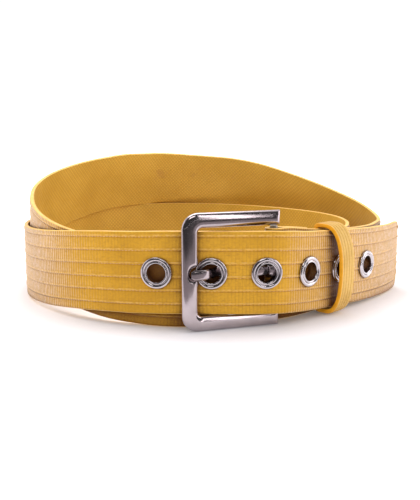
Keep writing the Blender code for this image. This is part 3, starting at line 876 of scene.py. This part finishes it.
class Look:
    """A node material under construction, with short calls for the nodes that the looks share."""

    def __init__(self, name, **settings):
        self.material = bpy.data.materials.new(name)
        self.material.use_nodes = True
        self.tree = self.material.node_tree
        self.shader = self.tree.nodes["Principled BSDF"]
        self.set(self.shader, **settings)

    def set(self, node, **settings):
        for key, value in settings.items():
            node.inputs[key.replace("_", " ")].default_value = value

    def put(self, node, key, value):
        if isinstance(value, bpy.types.NodeSocket):
            self.tree.links.new(value, node.inputs[key])
        else:
            node.inputs[key].default_value = value

    def node(self, kind, **inputs):
        node = self.tree.nodes.new("ShaderNode" + kind)
        for key, value in inputs.items():
            self.put(node, key, value)
        return node

    def math(self, operation, a, b=0.0, c=0.0, clamp=False):
        node = self.tree.nodes.new("ShaderNodeMath")
        node.operation = operation
        node.use_clamp = clamp
        for key, value in enumerate((a, b, c)):
            self.put(node, key, value)
        return node.outputs[0]

    def noise(self, vector, scale, detail=3.0, roughness=0.55):
        node = self.tree.nodes.new("ShaderNodeTexNoise")
        self.put(node, "Vector", vector)
        node.inputs["Scale"].default_value = scale
        node.inputs["Detail"].default_value = detail
        node.inputs["Roughness"].default_value = roughness
        return node.outputs["Fac"]

    def ramp(self, value, low, high, to_low=0.0, to_high=1.0):
        node = self.tree.nodes.new("ShaderNodeMapRange")
        node.interpolation_type = "SMOOTHSTEP"
        for key, number in (
            ("Value", value),
            ("From Min", low),
            ("From Max", high),
            ("To Min", to_low),
            ("To Max", to_high),
        ):
            self.put(node, key, number)
        return node.outputs["Result"]

    def mix(self, share, a, b, blend="MIX"):
        node = self.tree.nodes.new("ShaderNodeMix")
        node.data_type = "RGBA"
        node.blend_type = blend
        self.put(node, 0, share)
        self.put(node, 6, a)
        self.put(node, 7, b)
        return node.outputs[2]

    def bump(self, height, strength, distance, normal=None):
        node = self.tree.nodes.new("ShaderNodeBump")
        node.inputs["Strength"].default_value = strength
        node.inputs["Distance"].default_value = distance
        self.put(node, "Height", height)
        if normal is not None:
            self.put(node, "Normal", normal)
        return node.outputs["Normal"]

    def shade(self, colour, depth, reach, floor):
        """Painted shade: colour darkened to a dark red-brown where other pieces stand close and shade
        falls.
        """
        near = self.tree.nodes.new("ShaderNodeAmbientOcclusion")
        near.samples = 6
        near.inputs["Distance"].default_value = reach
        share = self.ramp(near.outputs["AO"], floor, 0.72, depth, 0.0)
        return self.mix(share, colour, (0.085, 0.013, 0.002, 1.0))

    def facing(self, low, high, top):
        """0 where the surface faces the eye, rising to top where it turns away."""
        turned = self.tree.nodes.new("ShaderNodeLayerWeight")
        turned.inputs["Blend"].default_value = 0.5
        return self.ramp(turned.outputs["Facing"], low, high, 0.0, top)

    def coordinates(self):
        """Object position, and the (along, across) position on the webbing in mm."""
        place = self.tree.nodes.new("ShaderNodeTexCoord").outputs["Object"]
        chart = self.tree.nodes.new("ShaderNodeUVMap")
        chart.uv_map = "strap_uv"
        scaled = self.tree.nodes.new("ShaderNodeVectorMath")
        scaled.operation = "SCALE"
        self.put(scaled, 0, chart.outputs[0])
        scaled.inputs["Scale"].default_value = 100.0
        split = self.tree.nodes.new("ShaderNodeSeparateXYZ")
        self.put(split, 0, scaled.outputs[0])
        return place, scaled.outputs[0], split.outputs[0], split.outputs[1]

    def finish(self, colour=None, roughness=None, normal=None):
        for key, value in (("Base Color", colour), ("Roughness", roughness), ("Normal", normal)):
            if value is not None:
                self.put(self.shader, key, value)
        return self.material


def webbing_outer():
    look = Look("webbing_outer")
    look.set(look.shader, Sheen_Weight=0.08, Sheen_Roughness=0.3, Specular_IOR_Level=0.2)
    look.shader.inputs["Sheen Tint"].default_value = (1.0, 0.86, 0.74, 1.0)
    place, chart, s, v = look.coordinates()
    cloud = look.ramp(look.noise(place, 38.0, 4.0), 0.3, 0.7)
    colour = look.mix(cloud, (0.57, 0.292, 0.014, 1.0), (0.69, 0.365, 0.024, 1.0))
    speck = look.ramp(look.noise(place, 900.0, 2.0), 0.42, 0.66)
    colour = look.mix(look.math("MULTIPLY", speck, 0.3), colour, (0.48, 0.23, 0.02, 1.0))
    turned = look.facing(0.22, 0.66, 0.95)
    cord = look.math("FRACT", look.math("DIVIDE", s, CORD_PITCH))
    from_groove = look.math("MINIMUM", cord, look.math("SUBTRACT", 1.0, cord))
    crest = look.ramp(from_groove, 0.16, 0.34)
    uneven = look.ramp(look.noise(place, 420.0, 3.0), 0.35, 0.65, 0.55, 1.0)
    on_crest = look.ramp(crest, 0.0, 1.0, 0.15, 1.0)
    # Painted sheen: cord crests washed towards pale beige, unevenly, where the surface turns away from
    # the eye.
    painted_sheen = look.math("MULTIPLY", look.math("MULTIPLY", turned, uneven), on_crest)
    colour = look.mix(painted_sheen, colour, (0.80, 0.65, 0.55, 1.0))
    # Painted shade in the cord grooves: patchy, and stronger where the surface turns away from the
    # eye.
    groove_shade = look.ramp(from_groove, 0.0, 0.2, 1.0, 0.0)
    patch = look.ramp(look.noise(place, 55.0, 3.0), 0.35, 0.7, 0.06, 0.3)
    patch = look.math("ADD", patch, look.math("MULTIPLY", turned, 0.5))
    colour = look.mix(look.math("MULTIPLY", groove_shade, patch), colour, (0.31, 0.13, 0.015, 1.0))
    # Painted light along the ridges: a shadow line just below each ridge and a highlight line on it,
    # as light from above gives, fading unevenly along the strap.
    from_top = look.math("SUBTRACT", STRAP_WIDTH + RIDGE_PITCH / 2.0 - RIDGE_FROM_TOP[0], v)
    part = look.math("FRACT", look.math("DIVIDE", from_top, RIDGE_PITCH))
    below = look.math("MULTIPLY", look.math("SUBTRACT", part, 0.5), RIDGE_PITCH)
    wander = look.math("MULTIPLY_ADD", look.noise(chart, 0.9, 3.0), 0.5, -0.25)
    below = look.math("ADD", below, wander)
    ridge_line_strength = look.ramp(look.noise(chart, 0.35, 4.0, 0.65), 0.38, 0.6, 0.2, 1.0)
    line = look.ramp(look.math("ABSOLUTE", look.math("SUBTRACT", below, 0.85)), 0.1, 0.5, 0.48, 0.0)
    colour = look.mix(look.math("MULTIPLY", line, ridge_line_strength), colour, (0.34, 0.14, 0.02, 1.0))
    line = look.ramp(look.math("ABSOLUTE", look.math("ADD", below, 0.1)), 0.15, 0.5, 0.42, 0.0)
    colour = look.mix(look.math("MULTIPLY", line, ridge_line_strength), colour, (0.86, 0.56, 0.20, 1.0))
    stretched = look.tree.nodes.new("ShaderNodeMapping")
    stretched.inputs["Scale"].default_value = (0.35, 1.0, 1.0)
    look.put(stretched, 0, chart)
    scuff = look.ramp(look.noise(stretched.outputs[0], 0.5, 6.0, 0.7), 0.6, 0.72)
    colour = look.mix(look.math("MULTIPLY", scuff, 0.45), colour, (0.24, 0.11, 0.03, 1.0))
    squashed = look.tree.nodes.new("ShaderNodeMapping")
    squashed.inputs["Scale"].default_value = (0.55, 1.5, 1.0)
    look.put(squashed, 0, chart)
    crinkle = look.noise(squashed.outputs[0], 0.8, 3.0, 0.6)
    colour = look.mix(look.ramp(crinkle, 0.46, 0.62, 0.0, 0.24), colour, (0.42, 0.19, 0.02, 1.0))
    # Painted shade where other pieces stand close.
    colour = look.shade(colour, 0.9, 0.014, 0.36)
    rough = look.ramp(look.noise(place, 420.0, 3.0), 0.3, 0.7, 0.38, 0.52)
    grain = look.bump(look.noise(place, 2600.0, 3.0, 0.6), 0.35, 0.00006)
    return look.finish(colour, rough, look.bump(crinkle, 0.5, 0.0003, grain))


def webbing_inner():
    look = Look("webbing_inner")
    look.set(look.shader, Sheen_Weight=0.05, Sheen_Roughness=0.4, Specular_IOR_Level=0.3)
    place, _, s, v = look.coordinates()
    pitch = 1.85
    first = look.math("ADD", s, v)
    second = look.math("SUBTRACT", s, v)
    waves = []
    for line in (first, second):
        turn = look.math("MULTIPLY", line, 2.0 * math.pi / (pitch * math.sqrt(2.0)))
        waves.append(look.math("MULTIPLY_ADD", look.math("SINE", turn), 0.5, 0.5))
    weave = look.math("MULTIPLY", waves[0], waves[1])
    cloud = look.ramp(look.noise(place, 30.0, 4.0), 0.3, 0.7)
    colour = look.mix(cloud, (0.57, 0.315, 0.028, 1.0), (0.67, 0.385, 0.045, 1.0))
    share = look.ramp(weave, 0.0, 0.35, 0.38, 0.0)
    colour = look.mix(share, colour, (0.36, 0.165, 0.02, 1.0))
    stain = look.ramp(look.noise(place, 70.0, 5.0, 0.65), 0.6, 0.75, 0.0, 0.4)
    colour = look.mix(stain, colour, (0.40, 0.19, 0.04, 1.0))
    # Painted shade where other pieces stand close.
    colour = look.shade(colour, 0.6, 0.008, 0.3)
    rough = look.ramp(look.noise(place, 300.0, 3.0), 0.3, 0.7, 0.5, 0.62)
    fine = look.bump(look.noise(place, 2400.0, 2.0), 0.25, 0.00005)
    return look.finish(colour, rough, look.bump(weave, 0.6, 0.00012, fine))


def cut_edge(name, low, high, rough):
    look = Look(name)
    place = look.tree.nodes.new("ShaderNodeTexCoord").outputs["Object"]
    cloud = look.ramp(look.noise(place, 260.0, 4.0), 0.3, 0.7)
    colour = look.mix(cloud, low, high)
    grain = look.noise(place, 1500.0, 3.0, 0.6)
    roughness = look.ramp(grain, 0.3, 0.7, rough - 0.06, rough + 0.06)
    return look.finish(colour, roughness, look.bump(grain, 0.3, 0.00008))


def keeper_face():
    look = Look("keeper_face")
    look.set(look.shader, Sheen_Weight=0.2, Sheen_Roughness=0.35)
    look.shader.inputs["Sheen Tint"].default_value = (1.0, 0.88, 0.74, 1.0)
    place, _, s, _ = look.coordinates()
    cloud = look.ramp(look.noise(place, 60.0, 4.0), 0.3, 0.7)
    colour = look.mix(cloud, (0.62, 0.37, 0.07, 1.0), (0.73, 0.46, 0.11, 1.0))
    cord = look.math("FRACT", look.math("DIVIDE", s, CORD_PITCH))
    from_groove = look.math("MINIMUM", cord, look.math("SUBTRACT", 1.0, cord))
    # Painted shade in the cord grooves.
    groove_shade = look.ramp(from_groove, 0.0, 0.18, 0.08, 0.0)
    colour = look.mix(groove_shade, colour, (0.36, 0.17, 0.03, 1.0))
    rough = look.ramp(look.noise(place, 420.0, 3.0), 0.3, 0.7, 0.4, 0.54)
    rib = look.ramp(from_groove, 0.0, 0.25)
    fine = look.bump(look.noise(place, 2600.0, 3.0, 0.6), 0.3, 0.00006)
    return look.finish(colour, rough, look.bump(rib, 0.15, 0.00008, fine))


def steel(name, tint, low, high, stretch):
    look = Look(name, Metallic=1.0)
    place = look.tree.nodes.new("ShaderNodeTexCoord").outputs["Object"]
    mapped = look.tree.nodes.new("ShaderNodeMapping")
    mapped.inputs["Scale"].default_value = stretch
    look.put(mapped, 0, place)
    brush = look.noise(mapped.outputs[0], 2200.0, 3.0, 0.5)
    cloud = look.ramp(look.noise(place, 120.0, 3.0), 0.3, 0.7)
    dark = tuple(c * 0.86 for c in tint) + (1.0,)
    colour = look.mix(cloud, dark, (*tint, 1.0))
    roughness = look.ramp(brush, 0.3, 0.7, low, high)
    return look.finish(colour, roughness)


# ---------------------------------------------------------------- stage


def emission_world():
    """White to the camera; soft and even for diffuse light; a dark front for reflections."""
    world = bpy.data.worlds.new("studio")
    bpy.context.scene.world = world
    world.use_nodes = True
    tree = world.node_tree
    tree.nodes.clear()
    out = tree.nodes.new("ShaderNodeOutputWorld")
    back = tree.nodes.new("ShaderNodeBackground")
    tree.links.new(back.outputs[0], out.inputs[0])
    place = tree.nodes.new("ShaderNodeTexCoord")
    split = tree.nodes.new("ShaderNodeSeparateXYZ")
    tree.links.new(place.outputs["Generated"], split.inputs[0])
    ramp = tree.nodes.new("ShaderNodeMapRange")
    ramp.interpolation_type = "SMOOTHSTEP"
    tree.links.new(split.outputs[1], ramp.inputs["Value"])
    for key, value in (("From Min", -0.45), ("From Max", 0.25), ("To Min", 0.05), ("To Max", 1.0)):
        ramp.inputs[key].default_value = value
    path = tree.nodes.new("ShaderNodeLightPath")
    for_gloss = tree.nodes.new("ShaderNodeMix")
    for_gloss.data_type = "FLOAT"
    tree.links.new(path.outputs["Is Glossy Ray"], for_gloss.inputs[0])
    for_gloss.inputs[2].default_value = WORLD_DIFFUSE
    tree.links.new(ramp.outputs[0], for_gloss.inputs[3])
    for_sight = tree.nodes.new("ShaderNodeMix")
    for_sight.data_type = "FLOAT"
    tree.links.new(path.outputs["Is Camera Ray"], for_sight.inputs[0])
    tree.links.new(for_gloss.outputs[0], for_sight.inputs[2])
    for_sight.inputs[3].default_value = 1.05
    tree.links.new(for_sight.outputs[0], back.inputs["Strength"])
    back.inputs["Color"].default_value = (1.0, 0.985, 0.985, 1.0)


def softbox(name, place, target, size, power, colour=(1.0, 1.0, 1.0)):
    lamp = bpy.data.lights.new(name, "AREA")
    lamp.shape = "RECTANGLE"
    lamp.size, lamp.size_y = size
    lamp.energy = power
    lamp.color = colour
    item = bpy.data.objects.new(name, lamp)
    item.location = place
    item.rotation_euler = (Vector(target) - Vector(place)).to_track_quat("-Z", "Y").to_euler()
    bpy.context.scene.collection.objects.link(item)
    return item


def build_floor():
    look = Look("floor_white", Roughness=0.75)
    place = look.tree.nodes.new("ShaderNodeTexCoord").outputs["Object"]
    split = look.tree.nodes.new("ShaderNodeSeparateXYZ")
    look.put(split, 0, place)
    spread = look.math(
        "SQRT",
        look.math(
            "ADD",
            look.math("POWER", split.outputs[0], 2.0),
            look.math("POWER", split.outputs[1], 2.0),
        ),
    )
    cloud = look.ramp(look.noise(place, 400.0, 3.0), 0.3, 0.7)
    look.finish(look.mix(cloud, (0.865, 0.855, 0.895, 1.0), (0.88, 0.87, 0.905, 1.0)))
    # Painted light: the floor glows faintly near the belt, which lifts the shadows there, and fully
    # farther out, so that it fades to white.
    glow = look.ramp(spread, FLOOR_FADE[0], FLOOR_FADE[1], 0.06, 1.0)
    look.put(look.shader, "Emission Strength", glow)
    look.shader.inputs["Emission Color"].default_value = (1.0, 1.0, 1.0, 1.0)
    size, rings, sides = 6.0, 40, 96
    points = [(0.0, 0.0, 0.0)]
    for k in range(1, rings + 1):
        radius = size * (k / rings) ** 2.0
        for i in range(sides):
            turn = 2.0 * math.pi * i / sides
            points.append((radius * math.cos(turn), radius * math.sin(turn), 0.0))
    faces = [(0, 1 + i, 1 + (i + 1) % sides) for i in range(sides)]
    for k in range(rings - 1):
        a, b = 1 + k * sides, 1 + (k + 1) * sides
        for i in range(sides):
            n = (i + 1) % sides
            faces.append((a + i, b + i, b + n, a + n))
    floor = make_object("floor", points, faces, (look.material,))
    floor.location = (0.0, 0.0, -0.0002)
    return floor


def build_flag():
    """Card on the floor, black far off and grey near the belt, seen only in reflections."""
    look = Look("flag_dark", Roughness=0.9)
    place = look.tree.nodes.new("ShaderNodeTexCoord").outputs["Object"]
    split = look.tree.nodes.new("ShaderNodeSeparateXYZ")
    look.put(split, 0, place)
    near = look.ramp(split.outputs[1], FLAG_EDGE - 0.02, FLAG_EDGE + 0.02)
    look.finish(look.mix(near, (0.015, 0.013, 0.015, 1.0), (0.26, 0.235, 0.25, 1.0)))
    points = [
        (-FLAG_SIZE, -FLAG_SIZE, FLAG_RISE),
        (FLAG_SIZE, -FLAG_SIZE, FLAG_RISE),
        (FLAG_SIZE, FLAG_END, FLAG_RISE),
        (-FLAG_SIZE, FLAG_END, FLAG_RISE),
    ]
    flag = make_object("flag", points, [(0, 1, 2, 3)], (look.material,))
    flag.visible_camera = False
    flag.visible_diffuse = False
    flag.visible_shadow = False
    flag.visible_transmission = False


def build_camera():
    data = bpy.data.cameras.new("camera")
    data.lens = 50.4
    data.sensor_width = 36.0
    data.clip_start = 0.01
    data.clip_end = 50.0
    item = bpy.data.objects.new("camera", data)
    item.location = CAMERA_AT
    item.rotation_euler = (math.radians(90.0) - CAMERA_PITCH, 0.0, 0.0)
    bpy.context.scene.collection.objects.link(item)
    bpy.context.scene.camera = item


build_camera()
bpy.context.scene.view_settings.view_transform = "Standard"
emission_world()
build_floor()
build_flag()
softbox("top_box", (-0.15, 0.25, 0.95), (0.0, 0.0, 0.0), (0.9, 0.7), 7.2, (1.0, 0.98, 0.97))
lens_box = softbox(
    "front_box", (0.05, -0.62, 0.62), (0.0, -0.05, 0.02), (0.34, 0.22), 0.8, (1.0, 0.97, 0.95)
)
lens_box.visible_diffuse = False
strip_box = softbox(
    "strip_box", (0.55, -0.742, 0.38), UPPER_ARM, (0.07, 0.8), 0.8, (1.0, 0.95, 0.97)
)
strip_box.visible_diffuse = False
softbox("left_box", (-0.75, -0.12, 0.3), (0.0, 0.0, 0.03), (0.5, 0.5), 0.5, (1.0, 0.94, 0.96))
softbox("right_box", (0.75, -0.05, 0.32), (0.0, 0.0, 0.03), (0.5, 0.5), 1.7, (1.0, 0.95, 0.96))

outer_look = webbing_outer()
inner_look = webbing_inner()
edge_look = cut_edge("webbing_edge", (0.86, 0.50, 0.10, 1.0), (0.93, 0.60, 0.17, 1.0), 0.42)
keeper_look = keeper_face()
keeper_edge = cut_edge("keeper_edge", (0.80, 0.36, 0.008, 1.0), (0.90, 0.43, 0.015, 1.0), 0.4)
frame_steel = steel("satin_steel", (0.50, 0.435, 0.45), 0.12, 0.14, (1.0, 1.0, 0.12))
eyelet_steel = steel("bright_steel", (0.62, 0.58, 0.60), 0.13, 0.15, (1.0, 1.0, 1.0))
dark_steel = steel("rivet_dark_steel", (0.42, 0.40, 0.40), 0.28, 0.4, (1.0, 1.0, 1.0))

eyelets = eyelet_frames()
strap = build_strap(outer_look, edge_look, inner_look)
holes = [cylinder("hole", c, a, STRAP_HOLE, 7.0) for c, a in eyelets]
bores = [cylinder("bore", c, a, RIVET_BORE, 7.4) for c, a in rivet_places()]
slot_cutter = block("slot", (BAR_X - 1.2, BAR_Y + 0.3, BUCKLE_Z), (11.0, 11.0, 6.8), FRAME_TILT)
for cutter in (joined(holes), joined(bores), slot_cutter):
    cut(strap, [cutter], sharp=58.0)
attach(strap, "strap_body")
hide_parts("strap")

for number, (centre, axis) in enumerate(eyelets, 1):
    eyelet = ring("eyelet_visual_%d" % number, eyelet_profile(), centre, axis, (eyelet_steel,))
    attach(eyelet, "strap_body")
    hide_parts("eyelet_%d" % number)

buckle = build_frame(frame_steel)
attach(buckle, "frame_body")
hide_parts("buckle_frame")

prong = build_prong(frame_steel)
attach(prong, "prong_body")
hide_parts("prong")

keeper = build_keeper(keeper_look, keeper_edge)
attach(keeper, "keeper_body")
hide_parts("keeper")

for name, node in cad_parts.items():
    look = None
    if name.startswith("eyelet"):
        look = eyelet_steel
    elif name.startswith("rivet"):
        look = dark_steel
    elif name == "crossbar":
        look = dark_steel
    if look is not None:
        for slot in node.material_slots:
            slot.material = look
